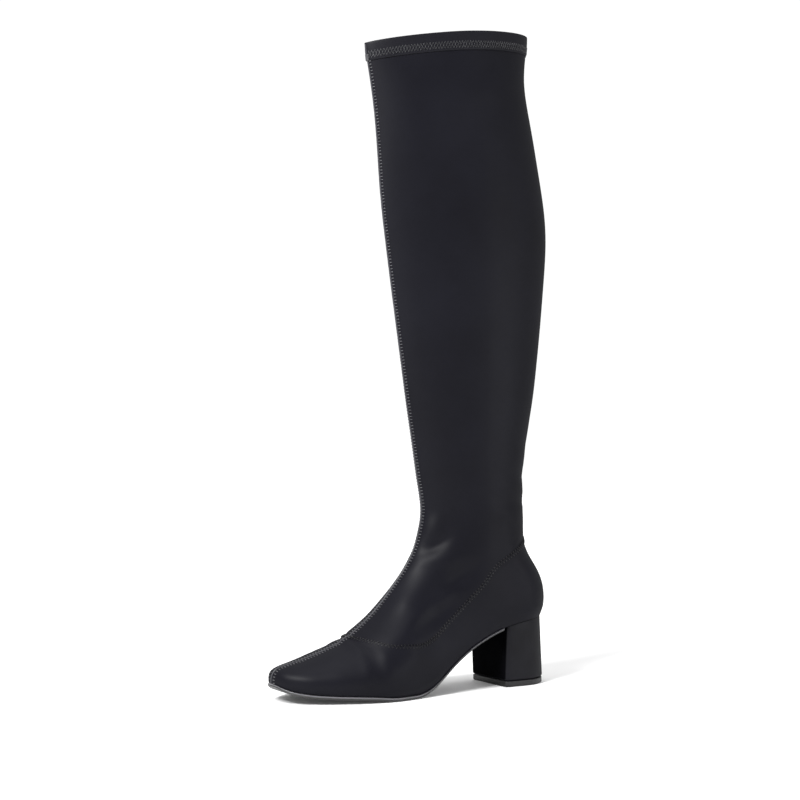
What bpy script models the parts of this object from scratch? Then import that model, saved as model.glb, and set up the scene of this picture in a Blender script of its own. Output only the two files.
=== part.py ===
"""Thigh high boot for the left foot: a stretch upper on a last, a thin outsole and a block heel.

Metres, +Z up. The toe points to -Y and the outer side of the foot to +X. The origin is on the
floor under the middle of the heel. Inside the functions a place in side view is (forward, up):
forward is measured towards the toe, from a plane 1.5 mm behind the counter.
"""

from collections import namedtuple

import bmesh
import bpy
import numpy as np

# Driving sizes of the foot
LENGTH = 0.2448  # plane just behind the counter to the toe tip
BALL_WIDTH = 0.084
WAIST_WIDTH = 0.060
SEAT_WIDTH = 0.057
TOE_WIDTH = 0.040
HEEL_HEIGHT = 0.0573  # floor to the seat, at the back
TOE_SPRING = 0.0125  # floor to the underside of the sole, at the toe tip
ANKLE_RISE = 0.091  # seat to the ankle

# Driving sizes of the leg
BOOT_HEIGHT = 0.5325  # floor to the top of the collar, at the back
COLLAR_DROP = 0.0224  # how much lower the collar is at the front
COLLAR_ARCH = 0.0022  # how far the collar's edge rises above a straight line, halfway along
ANKLE_DEPTH = 0.0938
ANKLE_WIDTH = 0.055
CALF_DEPTH = 0.1534
CALF_WIDTH = 0.058

# Pieces
UPPER_WALL = 0.0020
SHAFT_WALL = 0.0016
BAND_FRONT_HEIGHT = 0.0140
BAND_BACK_HEIGHT = 0.0155
BAND_PROUD = 0.0008
OUTSOLE_THICKNESS = 0.0032
OUTSOLE_MARGIN = 0.0007
INSOLE_THICKNESS = 0.0030
INSOLE_CLEARANCE = 0.0008
HEEL_BASE_WIDTH = 0.0515
HEEL_BASE_DEPTH = 0.048
HEEL_BASE_BACK = 0.0024
HEEL_CORNER = 0.0030
LIFT_THICKNESS = 0.0046
LIFT_INSET = 0.0002
GAP = 0.0003
FOXING_GAP = 0.0008
BAND_EDGE = 0.12  # share of the band's height over which it steps out at either edge
HEEL_FOOT_ROLL = 0.0012
LIFT_EDGE = 0.0006

# Shape of the form
TOE_ROUND = 0.026  # length over which the toe rounds off in plan
TOE_POWER = 2.5
TOE_SWING = 0.004  # how far the toe tip lies towards the inner side
SWING_START = 0.5  # share of the length
SEAT_ROLL = 0.013  # height over which the upper rolls out from its edge
SEAT_BULGE = 0.0030
HEEL_ROUND = 0.030
HEEL_BREAST = 0.0505  # front face of the heel
ARCH_START = 0.28
ARCH_ALONE = 0.60  # share of the length from which the foot's arch alone shapes the top
ARCH_FADE = 0.13  # share of the length over which it gives way to the shin behind
SHIN_START = 0.033  # depth below the ankle at which the shin begins to shape the front
SHIN_FADE = 0.030
FRONT_FOLD = 1.3  # the wall is this much deeper across the folded front seam

ANKLE_HEIGHT = HEEL_HEIGHT + ANKLE_RISE
LEG_HEIGHT = BOOT_HEIGHT - ANKLE_HEIGHT
HEEL_CENTRE = HEEL_BASE_BACK + HEEL_BASE_DEPTH / 2
SOLE_STACK = OUTSOLE_THICKNESS + GAP

# Sole outline: along the length, full width, share of the width on the outer side, and fullness
# of the arch above it, from folded along the seam to round
SolePoint = namedtuple("SolePoint", "along width outer arch")
SOLE_OUTLINE = (
    SolePoint(0.00, 0.94 * SEAT_WIDTH, 0.500, 1.65),
    SolePoint(0.12, 1.00 * SEAT_WIDTH, 0.500, 1.65),
    SolePoint(0.24, 0.95 * WAIST_WIDTH, 0.505, 1.65),
    SolePoint(0.34, 0.92 * WAIST_WIDTH, 0.525, 1.65),
    SolePoint(0.44, 0.96 * WAIST_WIDTH, 0.550, 1.65),
    SolePoint(0.52, 1.06 * WAIST_WIDTH, 0.562, 1.65),
    SolePoint(0.60, 0.86 * BALL_WIDTH, 0.550, 1.66),
    SolePoint(0.68, 0.96 * BALL_WIDTH, 0.518, 1.70),
    SolePoint(0.74, 0.97 * BALL_WIDTH, 0.490, 1.76),
    SolePoint(0.82, 0.87 * BALL_WIDTH, 0.462, 1.90),
    SolePoint(0.90, 1.42 * TOE_WIDTH, 0.445, 2.05),
    SolePoint(1.00, 0.85 * TOE_WIDTH, 0.420, 2.20),
)

# Underside of the sole: along the length, height as a share of the heel's and of the toe
# spring, and thickness of the sole, which is thinner under the waist
BottomPoint = namedtuple("BottomPoint", "along heel toe thick")
SOLE_BOTTOM = (
    BottomPoint(0.000, 1.000, 0.00, 1.00),
    BottomPoint(0.135, 0.937, 0.00, 0.75),
    BottomPoint(0.220, 0.862, 0.00, 0.62),
    BottomPoint(0.307, 0.703, 0.00, 0.62),
    BottomPoint(0.391, 0.483, 0.00, 0.62),
    BottomPoint(0.443, 0.306, 0.00, 0.65),
    BottomPoint(0.487, 0.149, 0.00, 0.75),
    BottomPoint(0.532, 0.040, 0.00, 0.90),
    BottomPoint(0.570, 0.000, 0.00, 1.00),
    BottomPoint(0.652, 0.000, 0.00, 1.00),
    BottomPoint(0.725, 0.000, 0.13, 1.00),
    BottomPoint(0.782, 0.000, 0.20, 1.00),
    BottomPoint(0.851, 0.000, 0.27, 1.00),
    BottomPoint(0.920, 0.000, 0.39, 1.00),
    BottomPoint(0.956, 0.000, 0.53, 0.95),
    BottomPoint(0.976, 0.000, 0.66, 0.90),
    BottomPoint(0.990, 0.000, 0.82, 0.80),
    BottomPoint(1.000, 0.000, 1.00, 0.70),
)

# Centre line over the toes and the instep: share of the way from the ankle to the toe tip, and
# share of the rise from the toe tip to the ankle
RidgePoint = namedtuple("RidgePoint", "forward up")
RIDGE = (
    RidgePoint(1.000, 0.000),
    RidgePoint(0.997, 0.032),
    RidgePoint(0.975, 0.071),
    RidgePoint(0.912, 0.093),
    RidgePoint(0.836, 0.110),
    RidgePoint(0.698, 0.153),
    RidgePoint(0.524, 0.223),
    RidgePoint(0.392, 0.320),
    RidgePoint(0.301, 0.402),
    RidgePoint(0.200, 0.518),
    RidgePoint(0.098, 0.645),
    RidgePoint(0.028, 0.800),
    RidgePoint(0.005, 0.893),
)

# Back of the counter: share of the ankle's back place, and share of the rise from seat to ankle
CounterPoint = namedtuple("CounterPoint", "forward up")
COUNTER = (
    CounterPoint(0.22, 0.00),
    CounterPoint(0.10, 0.08),
    CounterPoint(0.07, 0.15),
    CounterPoint(0.12, 0.25),
    CounterPoint(0.35, 0.39),
    CounterPoint(0.78, 0.54),
    CounterPoint(1.00, 0.66),
    CounterPoint(1.00, 0.84),
)

# Leg from the ankle to the collar: height, middle along the length, depth and width from the
# ankle's to the calf's, length of the rounded back, widest place and fullness of the front
LegPoint = namedtuple("LegPoint", "up middle depth width back widest front")
LEG = (
    LegPoint(0.000, 0.277, 0.000, 0.00, 0.38, 0.45, 1.65),
    LegPoint(0.055, 0.285, 0.052, 0.03, 0.38, 0.45, 1.62),
    LegPoint(0.133, 0.286, 0.206, 0.15, 0.39, 0.45, 1.60),
    LegPoint(0.232, 0.284, 0.435, 0.40, 0.40, 0.45, 1.58),
    LegPoint(0.366, 0.286, 0.683, 0.70, 0.42, 0.45, 1.55),
    LegPoint(0.482, 0.290, 0.866, 0.90, 0.43, 0.45, 1.53),
    LegPoint(0.552, 0.293, 0.963, 1.00, 0.43, 0.45, 1.52),
    LegPoint(0.624, 0.303, 1.000, 1.00, 0.43, 0.45, 1.50),
    LegPoint(0.701, 0.319, 0.953, 0.90, 0.43, 0.45, 1.50),
    LegPoint(0.779, 0.336, 0.893, 0.70, 0.43, 0.45, 1.50),
    LegPoint(0.856, 0.357, 0.851, 0.45, 0.43, 0.45, 1.50),
    LegPoint(0.921, 0.372, 0.876, 0.10, 0.43, 0.45, 1.50),
    LegPoint(0.962, 0.373, 0.948, -0.15, 0.43, 0.45, 1.50),
    LegPoint(1.000, 0.374, 0.995, -0.30, 0.43, 0.45, 1.50),
)

# Foxing seam: along the length, and height above the sole as a share of the rise to the ankle
FoxingPoint = namedtuple("FoxingPoint", "along rise")
FOXING = (
    FoxingPoint(0.06, 0.715),
    FoxingPoint(0.09, 0.702),
    FoxingPoint(0.12, 0.675),
    FoxingPoint(0.15, 0.645),
    FoxingPoint(0.19, 0.612),
    FoxingPoint(0.25, 0.565),
    FoxingPoint(0.31, 0.465),
    FoxingPoint(0.37, 0.418),
    FoxingPoint(0.43, 0.396),
    FoxingPoint(0.51, 0.390),
    FoxingPoint(0.59, 0.397),
    FoxingPoint(0.65, 0.403),
    FoxingPoint(0.70, 0.424),
    FoxingPoint(0.76, 0.448),
    FoxingPoint(0.85, 0.490),
)

# Fineness of the faceted solids
LINE_POINTS = 400
PATH_POINTS = 241
RING_COLUMNS = 30
RING_ROWS = 7
LEG_ROWS = 17
TOE_COLUMNS = 13
SIDE_COLUMNS = 22
UPPER_ROWS = 7
SOLE_STATIONS = 44
SOLE_END_STATIONS = 9
HEEL_STATIONS = 11
HEEL_CORNER_POINTS = 4
HEEL_LEVELS = 5
HALVINGS = 60
SHARP_DEGREES = 35
MERGE = 1e-6


def column(rows, name):
    return np.array([getattr(row, name) for row in rows], dtype=float)


def smooth_curve(knots, values):
    """Monotone cubic through the rows of a table, so that no row is overshot."""
    knots = np.asarray(knots, dtype=float)
    values = np.asarray(values, dtype=float)
    step = np.diff(knots)
    slope = np.diff(values) / step
    tangent = np.zeros_like(values)
    tangent[0] = slope[0]
    tangent[-1] = slope[-1]
    for i in range(1, len(knots) - 1):
        if slope[i - 1] * slope[i] > 0:
            before = 2 * step[i] + step[i - 1]
            after = step[i] + 2 * step[i - 1]
            tangent[i] = (before + after) / (before / slope[i - 1] + after / slope[i])

    def value(place):
        place = np.clip(place, knots[0], knots[-1])
        i = np.clip(np.searchsorted(knots, place) - 1, 0, len(knots) - 2)
        t = (place - knots[i]) / step[i]
        rise = (3 - 2 * t) * t * t
        return (
            values[i] * (1 - rise)
            + values[i + 1] * rise
            + step[i] * t * (1 - t) * (tangent[i] * (1 - t) - tangent[i + 1] * t)
        )

    return value


def smooth_line(points):
    """Dense line in side view through the points, evenly spread along it."""
    points = np.asarray(points, dtype=float)
    run = np.concatenate([[0], np.cumsum(np.hypot(*np.diff(points, axis=0).T))])
    forward = smooth_curve(run, points[:, 0])
    up = smooth_curve(run, points[:, 1])
    place = np.linspace(0, run[-1], LINE_POINTS)
    return np.stack([forward(place), up(place)], axis=1)


def set_in(line, distance):
    """The line moved to its left, seen along its run."""
    run = np.gradient(line, axis=0)
    run /= np.hypot(run[:, 0], run[:, 1])[:, None]
    return line + distance * np.stack([-run[:, 1], run[:, 0]], axis=1)


def rounded(share, power):
    """Quarter of a superellipse: 0 at the edge, 1 from a share of 1."""
    share = np.clip(share, 0, 1)
    return (1 - (1 - share) ** power) ** (1 / power)


def eased(share):
    share = np.clip(share, 0, 1)
    return share * share * (3 - 2 * share)


sole_width = smooth_curve(column(SOLE_OUTLINE, "along") * LENGTH, column(SOLE_OUTLINE, "width"))
sole_outer = smooth_curve(column(SOLE_OUTLINE, "along") * LENGTH, column(SOLE_OUTLINE, "outer"))
sole_bottom = smooth_curve(
    column(SOLE_BOTTOM, "along") * LENGTH,
    column(SOLE_BOTTOM, "heel") * (HEEL_HEIGHT - SOLE_STACK) + column(SOLE_BOTTOM, "toe") * TOE_SPRING,
)
sole_thickness = smooth_curve(
    column(SOLE_BOTTOM, "along") * LENGTH, column(SOLE_BOTTOM, "thick") * OUTSOLE_THICKNESS
)
arch_power = smooth_curve(column(SOLE_OUTLINE, "along") * LENGTH, column(SOLE_OUTLINE, "arch"))
foxing_rise = smooth_curve(column(FOXING, "along") * LENGTH, column(FOXING, "rise") * ANKLE_RISE)

leg_up = ANKLE_HEIGHT + column(LEG, "up") * LEG_HEIGHT
leg_depth = ANKLE_DEPTH + column(LEG, "depth") * (CALF_DEPTH - ANKLE_DEPTH)
leg_middle = column(LEG, "middle") * LENGTH
leg_width = smooth_curve(leg_up, ANKLE_WIDTH + column(LEG, "width") * (CALF_WIDTH - ANKLE_WIDTH))
leg_widest = smooth_curve(leg_up, column(LEG, "widest"))
leg_front_power = smooth_curve(leg_up, column(LEG, "front"))
back_round = smooth_curve(
    np.concatenate([[HEEL_HEIGHT], leg_up]),
    np.concatenate([[HEEL_ROUND], column(LEG, "back") * leg_depth]),
)


def seat(forward):
    """Height of the edge where the upper meets the sole."""
    return sole_bottom(forward) + sole_thickness(forward) + GAP


def seam_place(forward):
    """Sideways place of the front seam, which swings to the inner side at the toe."""
    share = np.clip((forward / LENGTH - SWING_START) / (1 - SWING_START), 0, 1)
    return -TOE_SWING * share * share


def foxing(forward):
    return seat(forward) + foxing_rise(forward)


def front_line():
    ankle = leg_middle[0] + leg_depth[0] / 2
    toe = seat(LENGTH)
    ridge = np.stack(
        [
            ankle + column(RIDGE, "forward") * (LENGTH - ankle),
            toe + column(RIDGE, "up") * (ANKLE_HEIGHT - toe),
        ],
        axis=1,
    )
    shin = np.stack([leg_middle + leg_depth / 2, leg_up], axis=1)
    return smooth_line(np.concatenate([ridge, shin]))


def back_line():
    ankle = leg_middle[0] - leg_depth[0] / 2
    counter = np.stack(
        [column(COUNTER, "forward") * ankle, HEEL_HEIGHT + column(COUNTER, "up") * ANKLE_RISE],
        axis=1,
    )
    calf = np.stack([leg_middle - leg_depth / 2, leg_up], axis=1)
    return smooth_line(np.concatenate([counter, calf]))


def meeting(low, high, is_under):
    """Place between low and high up to which is_under holds."""
    for _ in range(HALVINGS):
        middle = (low + high) / 2
        if is_under(middle):
            low = middle
        else:
            high = middle
    return low


class Form:
    """The outside of the boot, or the same form set in by the thickness of a wall."""

    def __init__(self, inset=0.0):
        self.inset = inset
        self.front = set_in(front_line(), inset * FRONT_FOLD)
        self.back = set_in(back_line(), -inset)
        self.toe = self.front[0, 0]
        foot = self.front[:, 1] <= ANKLE_HEIGHT
        self.ridge = self.front[foot][::-1]
        self.junction = meeting(
            LENGTH / 2, self.toe, lambda place: foxing(place) - FOXING_GAP / 2 < self.top(place)
        )

    def front_at(self, up):
        return np.interp(up, self.front[:, 1], self.front[:, 0])

    def back_at(self, up):
        return np.interp(up, self.back[:, 1], self.back[:, 0])

    def top(self, forward):
        return np.interp(forward, self.ridge[:, 0], self.ridge[:, 1])

    def heel_back(self):
        """Rearmost place of the edge on the seat."""
        return self.back_at(HEEL_HEIGHT)

    def edge(self, forward, side):
        """Half width at the edge on the sole, from the front seam's place."""
        share = sole_outer(forward) if side > 0 else 1 - sole_outer(forward)
        half = sole_width(forward) * share - side * seam_place(forward) - self.inset
        return half * rounded((self.toe - forward) / TOE_ROUND, TOE_POWER)

    def half_width(self, forward, up, side):
        low = self.edge(forward, side)
        bulge = SEAT_BULGE * rounded((self.toe - forward) / TOE_ROUND, TOE_POWER)
        low = low + bulge * rounded((up - seat(forward)) / SEAT_ROLL, 2)
        leg = leg_width(up) / 2 - self.inset
        body = low + (leg - low) * eased((up - HEEL_HEIGHT) / ANKLE_RISE)
        back = self.back_at(up)
        front = self.front_at(up)
        top = self.top(forward)
        heel = rounded((forward - back) / back_round(up), 2)
        arch_height = (1 - ARCH_START) * np.maximum(top - seat(forward), MERGE)
        arch = rounded((top - up) / arch_height, arch_power(forward))
        shin_depth = (1 - leg_widest(up)) * (front - back)
        shin = rounded((front - forward) / shin_depth, leg_front_power(up))
        behind = eased((ARCH_ALONE - forward / LENGTH) / ARCH_FADE)
        above = eased((up - ANKLE_HEIGHT + SHIN_START) / SHIN_FADE)
        crown = arch + (shin - arch) * (1 - (1 - behind) * (1 - above))
        return body * heel * crown

    def place(self, forward, up, side):
        across = seam_place(forward) + side * self.half_width(forward, up, side)
        return np.stack([across, HEEL_CENTRE - forward, up], axis=-1)


def spread(points, count):
    """The line through the points again, as count + 1 points evenly spread along it."""
    run = np.concatenate([[0], np.cumsum(np.linalg.norm(np.diff(points, axis=0), axis=1))])
    places = np.linspace(0, run[-1], count + 1)
    return np.stack([np.interp(places, run, points[:, i]) for i in range(3)], axis=1)


def both_ends(count):
    """Shares from 0 to 1, close together at both ends."""
    return (1 - np.cos(np.linspace(0, np.pi, count))) / 2


def foxing_ends(form):
    """Places of the shaft's lower edge at the front seam and at the back."""
    edge = FOXING_GAP / 2
    front = meeting(
        LENGTH / 2, form.toe, lambda place: foxing(place) + edge < form.top(place)
    )
    back = meeting(0.0, LENGTH / 2, lambda place: place < form.back_at(foxing(place) + edge))
    return front, back


def ring(form, front_up, back_up, foxing_share=0.0, arch=0.0):
    """Closed ring around the leg; it can sag like the foxing seam, or arch between its ends."""
    share = both_ends(PATH_POINTS)
    front = form.front_at(front_up)
    back = form.back_at(back_up)
    forward = front + (back - front) * share
    up = front_up + (back_up - front_up) * share + arch * 4 * share * (1 - share)
    if foxing_share:
        low_front, low_back = foxing_ends(form)
        low_forward = low_front + (low_back - low_front) * share
        chord = foxing(low_front) + (foxing(low_back) - foxing(low_front)) * share
        up = up + foxing_share * (foxing(low_forward) - chord)
    outer = spread(form.place(forward, up, 1), RING_COLUMNS)
    inner = spread(form.place(forward, up, -1), RING_COLUMNS)
    return np.concatenate([outer, inner[-2:0:-1]])


def upper_stations(form):
    """Places along the sole edge, toe to back, with one at the end of the foxing seam."""
    toe_run = form.toe + (form.junction - form.toe) * both_ends(PATH_POINTS)
    side_run = form.junction + (form.heel_back() - form.junction) * both_ends(PATH_POINTS)
    stations = []
    for run, count in ((toe_run, TOE_COLUMNS), (side_run, SIDE_COLUMNS)):
        edges = [spread(form.place(run, seat(run), side), count) for side in (1, -1)]
        stations.append(HEEL_CENTRE - (edges[0][:, 1] + edges[1][:, 1]) / 2)
    return np.concatenate([stations[0], stations[1][1:]])


def upper_columns(form, side):
    """Columns from the sole edge up to the front seam or to the foxing seam, toe to back."""
    return [upper_column(form, start, side) for start in upper_stations(form)]


def upper_column(form, start, side):
    low = seat(start)
    reach = form.toe - form.back_at(low)
    share = (start - form.back_at(low)) / reach

    def forward_at(up):
        return form.back_at(up) + share * (form.toe - form.back_at(up))

    def is_under(up):
        place = forward_at(up)
        return up < min(form.top(place), foxing(place) - FOXING_GAP / 2)

    high = meeting(low, ANKLE_HEIGHT, is_under)
    up = low + (high - low) * both_ends(PATH_POINTS)
    return spread(form.place(forward_at(up), up, side), UPPER_ROWS)


def new_object(name, mesh_builder, material):
    builder = bmesh.new()
    mesh_builder(builder)
    bmesh.ops.remove_doubles(builder, verts=builder.verts, dist=MERGE)
    bmesh.ops.dissolve_degenerate(builder, edges=builder.edges, dist=MERGE)
    bmesh.ops.recalc_face_normals(builder, faces=builder.faces)
    mesh = bpy.data.meshes.new(name)
    builder.to_mesh(mesh)
    builder.free()
    mesh.shade_smooth()
    mesh.set_sharp_from_angle(angle=np.radians(SHARP_DEGREES))
    mesh.materials.append(material)
    made = bpy.data.objects.new(name, mesh)
    bpy.context.collection.objects.link(made)
    return made


def add_points(builder, points):
    return [builder.verts.new(tuple(float(v) for v in point)) for point in points]


def bridge(builder, first, second, closed=True):
    """Faces between two rows of the same number of vertices."""
    last = len(first) if closed else len(first) - 1
    for i in range(last):
        j = (i + 1) % len(first)
        builder.faces.new((first[i], first[j], second[j], second[i]))


def tube_wall(outer_rings, inner_rings):
    """Hollow wall between rings on its outside and as many rings on its inside."""

    def build(builder):
        outer = [add_points(builder, points) for points in outer_rings]
        inner = [add_points(builder, points) for points in inner_rings]
        for rows in (outer, inner):
            for low, high in zip(rows, rows[1:]):
                bridge(builder, low, high)
        bridge(builder, outer[0], inner[0])
        bridge(builder, outer[-1], inner[-1])

    return build


def foot_wall(outside, inside):
    """Wall of the lower upper, open underneath and along the foxing seam."""

    def build(builder):
        for side in (1, -1):
            skins = []
            for form in (outside, inside):
                columns = [add_points(builder, points) for points in upper_columns(form, side)]
                for near, far in zip(columns, columns[1:]):
                    bridge(builder, near, far, closed=False)
                skins.append(columns)
            outer, inner = skins
            bridge(builder, [c[0] for c in outer], [c[0] for c in inner], closed=False)
            rims = [[c[-1] for c in columns[TOE_COLUMNS:]] for columns in skins]
            bridge(builder, rims[0], rims[1], closed=False)

    return build


def plate_stations(toe, back, back_length):
    """Places from toe to back on one even spacing, closer together where an end is round."""
    quarter = 1 - np.cos(np.linspace(0, np.pi / 2, SOLE_END_STATIONS))
    front_end = toe - TOE_ROUND * quarter
    back_end = back + back_length * quarter[::-1]
    spacing = LENGTH / SOLE_STATIONS
    even = np.arange(SOLE_STATIONS, 0, -1) * spacing
    clear = spacing / 3
    between = even[(even < front_end[-1] - clear) & (even > back_end[0] + clear)]
    return np.concatenate([front_end, between, back_end if back_length else [back]])


def plate(form, stations, low, high):
    """Plate between the form's two sole edges, from height low to height high at each station."""

    def build(builder):
        rows = []
        for side, level in ((1, low), (1, high), (-1, high), (-1, low)):
            points = form.place(stations, seat(stations), side)
            points[:, 2] = level
            rows.append(add_points(builder, points))
        for i in range(4):
            bridge(builder, rows[i], rows[(i + 1) % 4], closed=False)
        for end in (0, -1):
            width = abs(rows[0][end].co.x - rows[3][end].co.x)
            if width > MERGE:
                builder.faces.new([row[end] for row in rows])

    return build


def heel_half(half_width_at, front, back):
    """Half of the heel's outline: (across, forward) from the front corner to the back."""
    angles = np.linspace(0, np.pi / 2, HEEL_CORNER_POINTS)
    corner = front - HEEL_CORNER * (1 - np.cos(angles))
    rest = corner[-1] + (back - corner[-1]) * np.sin(np.linspace(0, np.pi / 2, HEEL_STATIONS))
    forward = np.concatenate([corner, rest[1:]])
    inside = np.clip(HEEL_CORNER - (front - forward), 0, HEEL_CORNER)
    cut = HEEL_CORNER - np.sqrt(HEEL_CORNER**2 - inside**2)
    return np.stack([half_width_at(forward) - cut, forward], axis=1)


def heel_base_half(inset):
    half = HEEL_BASE_WIDTH / 2 - inset
    back = HEEL_BASE_BACK + inset
    front = HEEL_BASE_BACK + HEEL_BASE_DEPTH - inset
    length = HEEL_ROUND * HEEL_BASE_WIDTH / SEAT_WIDTH

    def half_width_at(forward):
        return half * rounded((forward - back) / length, 2)

    return heel_half(half_width_at, front, back)


def heel_top_half(form, side):
    def half_width_at(forward):
        return form.half_width(forward, seat(forward), side)

    return heel_half(half_width_at, HEEL_BREAST, form.heel_back())


def heel_block(levels):
    """Solid through levels, each a pair of half outlines with heights, outer side first."""

    def build(builder):
        rows = []
        for sides in levels:
            pair = []
            for side, (outline, heights) in zip((1, -1), sides):
                points = np.stack(
                    [side * outline[:, 0], HEEL_CENTRE - outline[:, 1], heights], axis=1
                )
                pair.append(add_points(builder, points))
            rows.append(pair)
        for low, high in zip(rows, rows[1:]):
            for near, far in zip(low, high):
                bridge(builder, near, far, closed=False)
            builder.faces.new((low[0][0], low[1][0], high[1][0], high[0][0]))
        for outer, inner in (rows[0], rows[-1]):
            bridge(builder, outer, inner, closed=False)

    return build


def level_at(height, inset):
    outline = heel_base_half(inset)
    return [(outline, np.full(len(outline), height))] * 2


def heel_levels(form):
    floor = LIFT_THICKNESS + GAP
    low = floor + HEEL_FOOT_ROLL
    levels = [level_at(floor, HEEL_FOOT_ROLL)]
    for share in np.linspace(0, 1, HEEL_LEVELS):
        sides = []
        for side in (1, -1):
            base = heel_base_half(0.0)
            top = heel_top_half(form, side)
            outline = base + (top - base) * share
            ceiling = seat(top[:, 1]) - GAP
            sides.append((outline, low + (ceiling - low) * share))
        levels.append(sides)
    return levels


def lift_levels():
    return [
        level_at(0.0, LIFT_INSET + LIFT_EDGE),
        level_at(LIFT_EDGE, LIFT_INSET),
        level_at(LIFT_THICKNESS, LIFT_INSET),
    ]


def shaft_rings(form):
    """Rings from the foxing seam over the ankle up to the hem."""
    low_front, low_back = [foxing(place) + FOXING_GAP / 2 for place in foxing_ends(form)]
    rings = []
    for share in np.linspace(0, 1, RING_ROWS + 1):
        front_up = low_front + (ANKLE_HEIGHT - low_front) * share
        back_up = low_back + (ANKLE_HEIGHT - low_back) * share
        rings.append(ring(form, front_up, back_up, 1 - share))
    front_top = BOOT_HEIGHT - COLLAR_DROP - BAND_FRONT_HEIGHT - GAP / 2
    back_top = BOOT_HEIGHT - BAND_BACK_HEIGHT - GAP / 2
    for share in np.linspace(0, 1, LEG_ROWS + 1)[1:]:
        front_up = ANKLE_HEIGHT + (front_top - ANKLE_HEIGHT) * share
        back_up = ANKLE_HEIGHT + (back_top - ANKLE_HEIGHT) * share
        rings.append(ring(form, front_up, back_up, arch=COLLAR_ARCH * share))
    return rings


def band_rings(insets, shares):
    rings = []
    for inset, share in zip(insets, shares):
        front_up = BOOT_HEIGHT - COLLAR_DROP - (BAND_FRONT_HEIGHT - GAP / 2) * (1 - share)
        back_up = BOOT_HEIGHT - (BAND_BACK_HEIGHT - GAP / 2) * (1 - share)
        rings.append(ring(Form(inset), front_up, back_up, arch=COLLAR_ARCH))
    return rings


def plain_material(name, colour, roughness, metallic=0.0):
    material = bpy.data.materials.new(name)
    material.use_nodes = True
    shader = material.node_tree.nodes["Principled BSDF"]
    shader.inputs["Base Color"].default_value = (*colour, 1.0)
    shader.inputs["Roughness"].default_value = roughness
    shader.inputs["Metallic"].default_value = metallic
    return material


def build_boot():
    outside = Form()
    foot_inside = Form(UPPER_WALL)
    leg_inside = Form(SHAFT_WALL)
    heel_form = Form(GAP)
    sole_form = Form(-OUTSOLE_MARGIN)
    insole_form = Form(UPPER_WALL + INSOLE_CLEARANCE)

    cloth = plain_material("stretch cloth", (0.018, 0.018, 0.021), 0.62)
    hem = plain_material("hem cloth", (0.020, 0.020, 0.024), 0.62)
    heel_cloth = plain_material("heel cover", (0.015, 0.015, 0.018), 0.55)
    rubber = plain_material("sole rubber", (0.022, 0.022, 0.022), 0.40)
    lift_rubber = plain_material("lift rubber", (0.012, 0.012, 0.012), 0.50)
    sock = plain_material("sock lining", (0.030, 0.030, 0.030), 0.80)

    new_object("upper", foot_wall(outside, foot_inside), cloth)
    new_object("shaft", tube_wall(shaft_rings(outside), shaft_rings(leg_inside)), cloth)

    shares = (0.0, BAND_EDGE, 1.0 - BAND_EDGE, 1.0)
    outer_band = band_rings((0.0, -BAND_PROUD, -BAND_PROUD, 0.0), shares)
    inner_band = band_rings([SHAFT_WALL] * len(shares), shares)
    new_object("collar_band", tube_wall(outer_band, inner_band), hem)

    insole_run = plate_stations(insole_form.toe, insole_form.heel_back(), HEEL_ROUND)
    insole_low = seat(insole_run)
    new_object(
        "insole", plate(insole_form, insole_run, insole_low, insole_low + INSOLE_THICKNESS), sock
    )
    sole_run = plate_stations(sole_form.toe, HEEL_BREAST + GAP, 0.0)
    sole_low = sole_bottom(sole_run)
    sole_high = sole_low + sole_thickness(sole_run)
    new_object("outsole", plate(sole_form, sole_run, sole_low, sole_high), rubber)

    new_object("heel", heel_block(heel_levels(heel_form)), heel_cloth)
    new_object("heel_lift", heel_block(lift_levels()), lift_rubber)


for leftover in list(bpy.data.objects):
    bpy.data.objects.remove(leftover)
build_boot()
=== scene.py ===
"""Looks of the tall pull-on boot: cloth, seams, stitches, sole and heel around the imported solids.

Metres, +Z up, toe to -Y, outer side of the foot to +X, origin on the floor under the heel.
"""

import math
from collections import namedtuple

import bmesh
import bpy
import numpy as np
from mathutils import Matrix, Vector, noise
from mathutils.bvhtree import BVHTree
from mathutils.kdtree import KDTree


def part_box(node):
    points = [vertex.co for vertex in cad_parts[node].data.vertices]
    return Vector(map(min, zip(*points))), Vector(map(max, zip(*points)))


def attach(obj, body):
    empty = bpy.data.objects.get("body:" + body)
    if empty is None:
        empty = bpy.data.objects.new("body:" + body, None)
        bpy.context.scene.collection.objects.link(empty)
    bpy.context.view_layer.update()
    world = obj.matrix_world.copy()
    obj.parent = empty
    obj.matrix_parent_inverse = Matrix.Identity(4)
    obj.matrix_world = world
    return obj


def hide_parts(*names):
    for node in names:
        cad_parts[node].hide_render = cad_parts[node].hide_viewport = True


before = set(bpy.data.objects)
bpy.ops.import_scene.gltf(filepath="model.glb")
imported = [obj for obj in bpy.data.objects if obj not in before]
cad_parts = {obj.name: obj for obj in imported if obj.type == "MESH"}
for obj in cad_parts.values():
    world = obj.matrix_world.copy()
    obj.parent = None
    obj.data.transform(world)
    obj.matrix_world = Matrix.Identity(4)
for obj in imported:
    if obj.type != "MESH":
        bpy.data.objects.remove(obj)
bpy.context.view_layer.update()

# Leg and foot: two pieces of black stretch cloth, closed by one seam down the front. The leg is
# drawn tight over the calf and stands on its own; the foot piece is lasted over the insole.
MERGE = 1e-5
RAY_START = 2e-4  # clear of the faces around the vertex that a ray leaves from
LEG_OUTSIDE = 0.30  # share of free directions above which a vertex is on the outside
FOOT_OUTSIDE = 0.13  # less, because the sole covers the edge of the foot piece
SKIN_LEVELS = 2
FITTING_ROUNDS = 4
LEG_WALL = 0.0016
FOOT_WALL = 0.0020
TOE_SWING = -0.0040  # the front seam's place at the toe tip
SEAM_MARK = "front_seam"
ON_SEAM = 0.999  # the mark's value after rounding, on the seam itself
FRONT_NORMAL = 0.5  # the back column's normals point further back than this
DIRECTION_COUNT = 160

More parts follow.
